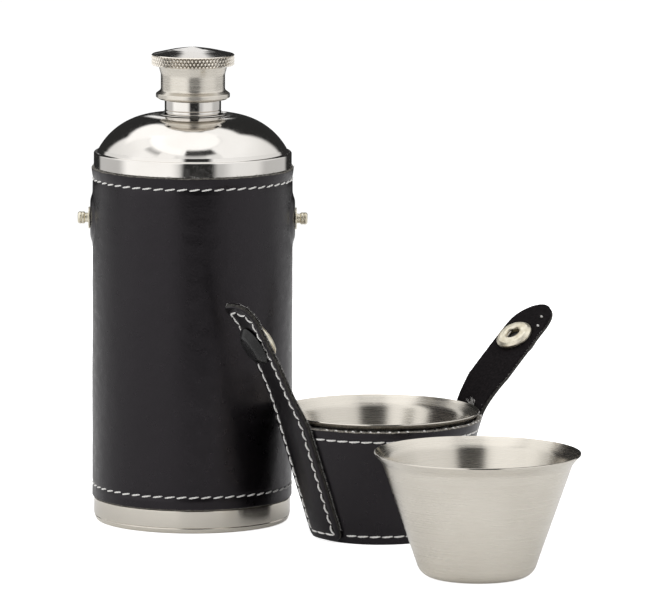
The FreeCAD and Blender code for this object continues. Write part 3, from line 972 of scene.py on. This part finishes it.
def case_stitches():
    slant = 0.12
    for name, row in zip(("rim", "foot"), CASE_ROWS):
        rng = random.Random(SEED + len(name))
        threads = Strands()
        radius = case_radius(row)
        count = round(2 * pi * radius / CASE_PITCH)
        for i in range(count):
            start = 2 * pi * (i + rng.uniform(-0.02, 0.02)) / count
            end = start + 2 * pi * STITCH_SHARE / count
            middle = (start + end) / 2
            apart = min(abs((middle - strap.azimuth + pi) % (2 * pi) - pi) for strap in STRAPS)
            if apart * radius > STRAP_WIDTH / 2 + 0.3:
                threads.stitch(case_surface, Vector((start, row - slant)), Vector((end, row + slant)))
        mount(threads.made("case_stitches_" + name, THREAD), "case", "white_thread")


def rim_nubs():
    """Bits of the lining's thread that show along the rim's cut edge, and hairs between them."""
    rng = random.Random(SEED + 40)
    nubs = Strands()
    hairs = Strands()
    count = round(2 * pi * CASE.r / (CASE_PITCH * 0.72))

    def on_edge(turn, depth):
        return CASE_CENTRE + outward(turn) * (CASE.r - depth) + UP * (CASE.top - 0.1), UP

    for i in range(count):
        if rng.random() < 0.2:
            continue
        angle = 2 * pi * (i + rng.uniform(-0.2, 0.2)) / count
        width = rng.uniform(0.25, 0.55) / CASE.r
        nubs.stitch(on_edge, Vector((angle - width, 0.45)), Vector((angle + width, 0.25)), radius=0.2)
    for _ in range(CASE_HAIRS):
        angle = rng.uniform(0, 2 * pi)
        out = outward(angle)
        root = CASE_CENTRE + out * (CASE.r - rng.uniform(0.05, 1.3)) + UP * (CASE.top - 0.15)
        hairs.fibre(root, UP + out * rng.uniform(-0.4, 0.8), rng.uniform(0.15, 0.5), 0.04, rng)
    mount(nubs.made("case_rim_thread", THREAD), "case", "white_thread")
    mount(hairs.made("case_rim_fibres", FIBRE), "case", "black_leather")


# ---- Straps ----

# The stitched row: how far it is from the middle, where its straight sides start and end, and its round tip
ROW_SIDE = STRAP_WIDTH / 2 - STRAP_ROW
ROW_LOW = STRAP_ROW + STRAP_ROW_FOOT - STRAP_ROOT
ROW_HIGH = STRAP_LENGTH - STRAP_WIDTH / 2
ROW_REACH = STRAP_WIDTH / 2 - STRAP_ROW_TIP
ROW_STRAIGHT = ROW_HIGH - ROW_LOW
ROW_BEND = pi * (ROW_SIDE + ROW_REACH) / 2


def swung(vector, axis, degrees):
    return Quaternion(axis, radians(degrees)) @ vector


class Strap:
    """A strap's shape: along it is the distance up from the rim, across it the distance from its middle."""

    def __init__(self, side):
        self.side = side
        self.name = "strap_" + side
        axis = joint(self.name + "_flex")["axis"]
        self.azimuth = atan2(-axis[0], axis[1])
        self.radial = outward(self.azimuth)
        self.tangent = Vector((-self.radial.y, self.radial.x, 0))
        self.stops = self.walked()

    def walked(self):
        """The free part's middle, step by step from the rim, and its directions along, across and out."""
        along = self.radial * sin(CASE_LEAN) + UP * cos(CASE_LEAN)
        out = self.radial * cos(CASE_LEAN) - UP * sin(CASE_LEAN)
        across = self.tangent
        place = CASE_CENTRE + self.radial * CASE.r + UP * CASE.top + out * (STRAP_GAP + STRAP_THICK / 2)
        stops = [(place, along, across, out)]
        for length, bend, twist, swing in STRAP_STRETCHES[self.side]:
            count = round(length / WALK_STEP)
            for _ in range(count):
                place = place + swung(along, across, bend / count / 2) * WALK_STEP
                along = swung(along, across, bend / count)
                out = swung(out, across, bend / count)
                across = swung(across, along, twist / count)
                out = swung(out, along, twist / count)
                along = swung(along, out, swing / count)
                across = swung(across, out, swing / count)
                stops.append((place, along, across, out))
        return stops

    def middle(self, distance):
        """The strap's middle at a distance up from the rim, and its directions along, across and out."""
        if distance <= 0:
            place, along, across, out = self.stops[0]
            return place + along * distance, along, across, out
        step = min(distance / WALK_STEP, len(self.stops) - 1.001)
        ends = zip(self.stops[int(step)], self.stops[int(step) + 1])
        return [before.lerp(after, step % 1) for before, after in ends]

    def surface(self, across, along, lift=STRAP_THICK / 2):
        """Point at a lift over the strap's middle layer, and the normal. The root curves round the case."""
        place, ahead, aside, out = self.middle(along)
        radius = CASE.r + min(along, 0) * sin(CASE_LEAN)
        curl = asin(across / radius) * (1 - smooth(along, 0, STRAP_FLATTENS_OVER))
        level = out * cos(CASE_LEAN) + ahead * sin(CASE_LEAN)
        up = ahead * cos(CASE_LEAN) - out * sin(CASE_LEAN)
        bowed = level * cos(curl) + aside * sin(curl)
        normal = bowed * cos(CASE_LEAN) - up * sin(CASE_LEAN)
        point = place + aside * across - level * (radius * (1 - cos(curl)))
        return point + normal * lift, normal

    def edge_distance(self, across, along):
        """How far inside the strap's outline a place is."""
        half = STRAP_WIDTH / 2
        across = abs(across)
        past_tip_centre = along - (STRAP_LENGTH - half)
        if past_tip_centre > 0:
            return half - hypot(across, past_tip_centre)
        above_foot = along + STRAP_ROOT
        if above_foot < STRAP_CORNER and across > half - STRAP_CORNER:
            return STRAP_CORNER - hypot(across - half + STRAP_CORNER, STRAP_CORNER - above_foot)
        return min(half - across, above_foot)

    def half_width(self, along):
        half = STRAP_WIDTH / 2
        past_tip_centre = along - (STRAP_LENGTH - half)
        if past_tip_centre > 0:
            return sqrt(max(half**2 - past_tip_centre**2, 0.16))
        above_foot = along + STRAP_ROOT
        if above_foot < STRAP_CORNER:
            return half - STRAP_CORNER + sqrt(STRAP_CORNER**2 - (STRAP_CORNER - above_foot) ** 2)
        return half

    def skin_lift(self, across, along):
        """Lift of the smooth face: rounded edges, a pressed row and a soft crown inside it."""
        edge = max(self.edge_distance(across, along), 0)
        rounding = 0.35
        lift = STRAP_THICK / 2 - rounding * (1 - sqrt(1 - max(0, 1 - edge / rounding) ** 2))
        lift -= pressed(edge - STRAP_ROW, 0.24)
        lift += 0.05 * smooth(edge, STRAP_ROW, STRAP_ROW + 3) - 0.05
        return lift + 0.06 * wobble((across, along, self.azimuth), 7)

    def skin(self, across, along):
        return self.surface(across, along, self.skin_lift(across, along))

    def stations(self):
        """Places along the strap, closer together where its outline is round."""
        half = STRAP_WIDTH / 2
        corner = [STRAP_CORNER * (1 - cos(radians(a))) for a in range(6, 90, 12)]
        tip = [half * sin(radians(a)) for a in range(0, 88, 3)]
        straight_low = STRAP_CORNER - STRAP_ROOT
        straight_high = STRAP_LENGTH - half
        steps = round((straight_high - straight_low) / 0.5)
        straight = [straight_low + (straight_high - straight_low) * i / steps for i in range(steps)]
        return [c - STRAP_ROOT for c in corner] + straight + [straight_high + t for t in tip]

    def layer(self, name, top_lift, bottom_lift, finishes):
        """A closed slab between two lifts, each a function of the place."""
        shares = [sin(pi / 2 * (2 * i / 30 - 1)) * 0.35 + (2 * i / 30 - 1) * 0.65 for i in range(31)]
        points = []
        stations = self.stations()
        for along in stations:
            half = self.half_width(along)
            ring = [(share * half, top_lift) for share in shares]
            ring += [(share * half, bottom_lift) for share in reversed(shares)]
            for across, lift in ring:
                points.append(self.surface(across, along, lift(across, along))[0])
        columns = 2 * len(shares)
        faces = grid_faces(len(stations), columns, wrap_columns=True)
        slots = [0 if face[0] % columns < len(shares) - 1 else 1 for face in faces]
        faces += [tuple(range(columns)), tuple(range(len(points) - columns, len(points)))]
        return piece(name, points, faces, finishes, slots + [1, 1], crease=50)

    @staticmethod
    def row_point(distance):
        """A place on the stitched row, which runs up one side, round the tip and down the other."""
        if distance < ROW_STRAIGHT:
            return Vector((-ROW_SIDE, ROW_LOW + distance))
        if distance < ROW_STRAIGHT + ROW_BEND:
            angle = pi * (distance - ROW_STRAIGHT) / ROW_BEND
            return Vector((-ROW_SIDE * cos(angle), ROW_HIGH + ROW_REACH * sin(angle)))
        return Vector((ROW_SIDE, ROW_HIGH - (distance - ROW_STRAIGHT - ROW_BEND)))

    def stitches(self):
        rng = random.Random(SEED + round(self.azimuth * 100))
        threads = Strands()
        length = 2 * ROW_STRAIGHT + ROW_BEND
        count = round(length / STRAP_PITCH)
        pitch = length / count
        slant = 0.22
        for i in range(count):
            start = (i + 0.08 + rng.uniform(-0.02, 0.02)) * pitch
            a = self.row_point(start)
            b = self.row_point(start + STITCH_SHARE * pitch)
            across = (b - a).normalized().orthogonal()
            bow = -0.34 if self.side == "left" and a.x > 0 else 0.16
            threads.stitch(self.skin, a - across * slant, b + across * slant, bow=bow)
        foot = self.row_point(0)
        width = 2 * abs(foot.x)
        across_count = round(width / STRAP_PITCH)
        for i in range(across_count):
            start = foot + Vector((width * (i + 0.1) / across_count, 0.1))
            end = foot + Vector((width * (i + 0.1 + STITCH_SHARE) / across_count, -0.1))
            threads.stitch(self.skin, start, end)
        return threads.made(self.name + "_stitches", THREAD)

    def fuzz(self):
        """Fibres along the cut edges of the suede, more of them on one side."""
        rng = random.Random(SEED + 3)
        hairs = Strands()
        for _ in range(STRAP_HAIRS[self.side]):
            along = rng.uniform(-STRAP_ROOT + 3, STRAP_LENGTH - 0.2)
            across = self.half_width(along) * rng.choice((-1, 1, 1))
            point, normal = self.surface(across, along, rng.uniform(-STRAP_THICK / 2 + 0.05, -0.35))
            away = self.middle(along)[2] * copysign(1, across) + normal * rng.uniform(-0.7, 0.4)
            hairs.fibre(point, away.normalized(), rng.uniform(0.12, 0.42), 0.03, rng)
        return hairs.made(self.name + "_edge_fibres", FIBRE)

    def blend(self, obj):
        """Bakes a piece's placement into its mesh. The points at the two ends of the hinge at the rim are
        worked out but not used.
        """
        start = self.surface(0, 0, 0)[0] * MM
        end = self.surface(0, STRAP_BENDS_OVER, 0)[0] * MM
        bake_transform(obj)

    def snap_place(self):
        """Where the snap sits: its zero on the smooth face, its Z out of the strap."""
        place, along, across, out = self.middle(SNAP_AT)
        turn = Matrix((-along, across, out)).transposed().to_4x4()
        return Matrix.Translation((place + out * (STRAP_THICK / 2)) * MM) @ turn

    def snap_cap(self):
        corners = [
            (0, -STRAP_THICK - 0.7), (1.9, -STRAP_THICK - 0.7), (1.9, 0.2), (SNAP_CAP_R - 0.5, 0.2),
            (SNAP_CAP_R, 0.55, 0.2), (SNAP_CAP_R - 0.25, 0.95, 0.2),
            (SNAP_CAP_R - 2.0, SNAP_CAP_RISE - 0.33, 2.2), (0, SNAP_CAP_RISE),
        ]
        mounting = (self.name, "black_enamel", "snap_cap_" + self.side)
        points = outline(corners)
        lathe("snap_button_" + self.side, points, [ENAMEL], mounting, self.snap_place(), 128, crease=60)

    def snap_socket(self):
        seat = -STRAP_THICK - 0.05
        mouth = seat - SOCKET_HEIGHT
        corners = [
            (1.95, seat), (SOCKET_R - 0.4, seat), (SOCKET_R, seat - 0.5, 0.2),
            (SOCKET_R, mouth + 1.0, 0.5), (SOCKET_R - 0.9, mouth + 0.25, 0.4),
            (SOCKET_R - 1.5, mouth + 0.1, 0.3), (2.75, mouth, 0.3), (2.35, mouth + 0.1, 0.15),
            (2.05, mouth + 0.45), (2.05, mouth + 0.8), (3.3, mouth + 0.8), (3.3, seat - 0.6),
            (1.95, seat - 0.6),
        ]

        def beads(angle, radius, height):
            """Rings of small beads pressed into the ring's face."""
            ring = self.bead_ring(radius)
            if height > mouth + 1.0 or ring is None:
                return radius, height
            count, level = ring
            return radius, height - level * max(0, cos(count * angle)) ** 2

        points = refined(outline(corners), 0.14)
        mounting = (self.name, "nickel_plate", "snap_socket_" + self.side)
        lathe("snap_ring_" + self.side, points, [NICKEL], mounting, self.snap_place(), 288, beads, crease=50)

    @staticmethod
    def bead_ring(radius):
        """Count and height of the beads at a radius of the socket's face."""
        for inner, outer, count in ((2.8, 3.4, 36), (3.5, 4.2, 42), (4.3, 5.1, 48)):
            if inner < radius < outer:
                share = (radius - inner) / (outer - inner)
                return count, 0.09 * sin(pi * share)
        return None

    def build(self):
        seam = -STRAP_THICK / 2 + STRAP_LINING
        nodes = [self.name + "_" + part for part in ("root", "tab")]

        def seam_lift(across, along):
            return seam + 0.02

        def lining_top(across, along):
            edge = max(self.edge_distance(across, along), 0)
            return seam - 0.12 * (1 - smooth(edge, 0, 0.3))

        def lining_bottom(across, along):
            edge = max(self.edge_distance(across, along), 0)
            nap = 0.05 * wobble((across, along, 0), 1.1)
            return -STRAP_THICK / 2 + 0.2 * (1 - smooth(edge, 0, 0.4)) + (nap if along > 0 else 0)

        finishes = [STRAP_SKIN, STRAP_CUT]
        skin = self.layer(self.name + "_leather", self.skin_lift, seam_lift, finishes)
        lining = self.layer(self.name + "_suede", lining_top, lining_bottom, [SUEDE, SUEDE])
        for obj, slot in (
            (skin, "black_leather"), (lining, "black_suede"),
            (self.stitches(), "white_thread"), (self.fuzz(), "black_leather"),
        ):
            self.blend(obj)
        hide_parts(*nodes)
        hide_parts(self.name + "_tab_lining")
        self.snap_cap()
        self.snap_socket()


STRAPS = [Strap("left"), Strap("right")]


def loose_ends():
    """Two thread ends near the right strap's tip, on its suede, and a frayed tuft where it leaves the rim."""
    strap = STRAPS[1]
    rng = random.Random(SEED + 11)

    def suede(across, along):
        point, normal = strap.surface(across, along, -STRAP_THICK / 2)
        return point, -normal

    dots = Strands()
    for across, along in THREAD_ENDS:
        dots.stitch(suede, Vector((across, along)), Vector((across + 0.55, along + 0.25)), radius=0.33)
    mount(dots.made("strap_right_thread_ends", THREAD), "strap_right", "white_thread")
    tuft = Strands()
    for _ in range(TUFT_HAIRS):
        across = rng.uniform(-2.2, 1.0)
        root, normal = suede(across, rng.uniform(1.0, 2.6))
        lean_out = strap.tangent * rng.uniform(-0.9, 0.9) + normal * rng.uniform(0.1, 0.6)
        tuft.fibre(root, (UP + lean_out).normalized(), rng.uniform(0.7, 2.2), 0.045, rng)
    made = tuft.made("strap_right_frayed_tuft", THREAD)
    strap.blend(made)


# ---- Hidden pieces, lights and camera ----


def dress_hidden_nodes():
    finishes = {
        "bottle_tube": BRUSHED, "stud_backing_right": NICKEL, "stud_backing_left": NICKEL,
        "cap_seal": RUBBER, "snap_spring_left": WIRE, "snap_spring_right": WIRE,
    }
    for node, finish in finishes.items():
        frame["nodes"][node].material_slots[0].material = finish


# Bright cards in a dark room, each over the ones before it: its azimuth from the front and its elevation in
# degrees, how soft its edges are, and its brightness 10 degrees below level and 50 above it
STUDIO_CARDS = [
    ((-137, -12), (-80, 58), 4, (0.58, 1.2)),
    ((-88, -17), (-80, 52), 9, (1.22, 1.2)),
    ((27, 139), (-80, 70), 5, (0.58, 1.15)),
    ((42, 88), (-80, 22), 9, (0.95, 0.95)),
    ((-167, -124), (37, 74), 4, (1.3, 1.3)),
    ((-132, -14), (57, 74), 3, (1.4, 1.4)),
    ((134, 167), (52, 74), 3, (1.15, 1.15)),
    ((-90, -58), (51, 57), 3, (0.55, 0.55)),
    ((-12, 46), (57, 69), 4, (0.05, 0.05)),
    ((-30, 50), (48, 57.5), 3, (0.95, 0.95)),
    ((-200, 200), (69, 100), 3, (1.32, 1.32)),
    ((-200, -175.5), (9, 44), 1, (0.98, 0.98)),
    ((177, 200), (17, 44), 1, (0.98, 0.98)),
]


def studio():
    """The cards light the object and show in its reflections. The camera sees a plain white backdrop."""
    world = bpy.data.worlds.new("studio")
    world.use_nodes = True
    bpy.context.scene.world = world
    tree = Tree(world.node_tree)
    x, y, z = tree.add("SeparateXYZ", {0: tree.add("TexCoord").outputs["Generated"]}).outputs
    azimuth = tree.math("ARCTAN2", x, tree.times(y, -1.0))
    elevation = tree.math("ARCSINE", z)
    light = ROOM_LIGHT
    for turn, rise, soft, (low, high) in STUDIO_CARDS:
        inside = tree.times(
            tree.window(azimuth, *map(radians, turn), radians(soft)),
            tree.window(elevation, *map(radians, rise), radians(min(soft, 3))),
        )
        brightness = tree.map(elevation, radians(-10), radians(50), low, high)
        light = tree.add("Mix", {0: inside, 2: light, 3: brightness}).outputs[0]
    seen = tree.add("LightPath").outputs["Is Camera Ray"]
    background = tree.nodes["Background"]
    tree.put(background.inputs["Color"], (1, 1, 1, 1))
    tree.put(background.inputs["Strength"], tree.add("Mix", {0: seen, 2: light, 3: BACKDROP}).outputs[0])


def floor():
    """A pale sheet. The camera sees it nearly as bright as the backdrop, and it lights the object less."""
    made = Finish("pale_floor", Roughness=0.9, Specular_IOR_Level=0.0, Emission_Color=(1, 1, 1, 1))
    made.mottle(3, 2, grey(0.84), grey(0.88))
    seen = made.add("LightPath").outputs["Is Camera Ray"]
    made.put(made.shader.inputs["Emission Strength"], made.map(seen, 0, 1, FLOOR_LIGHT, FLOOR_SEEN))
    ring = [around(pi * step / 48, FLOOR_R, -FLOOR_GAP) for step in range(96)]
    disc = piece("floor", ring, [tuple(range(96))], [made.material])


def camera():
    lens = bpy.data.cameras.new("camera")
    lens.lens = CAMERA_LENS
    lens.clip_end = 20
    made = bpy.data.objects.new("camera", lens)
    bpy.context.scene.collection.objects.link(made)
    lift = radians(CAMERA_ELEVATION)
    back = Vector((0, -cos(lift), sin(lift)))
    made.location = (Vector(CAMERA_TARGET) + back * CAMERA_DISTANCE) * MM
    made.rotation_mode = "QUATERNION"
    roll = Quaternion((0, 0, 1), radians(CAMERA_ROLL))
    made.rotation_quaternion = (-back).to_track_quat("-Z", "Y") @ roll
    bpy.context.scene.camera = made
    bpy.context.scene.view_settings.view_transform = "Standard"


def main():
    bottle_base()
    neck(shoulder_dome())
    leather_sleeve()
    sleeve_stitches()
    sleeve_fibres()
    studs()
    cap_skirt()
    cap_head()
    cup("stowed_cup_shell", "cup_stowed")
    cup("loose_cup_shell", "cup_loose")
    case_shell()
    case_bottom()
    case_stitches()
    rim_nubs()
    for strap in STRAPS:
        strap.build()
    loose_ends()
    dress_hidden_nodes()
    studio()
    floor()
    camera()


main()
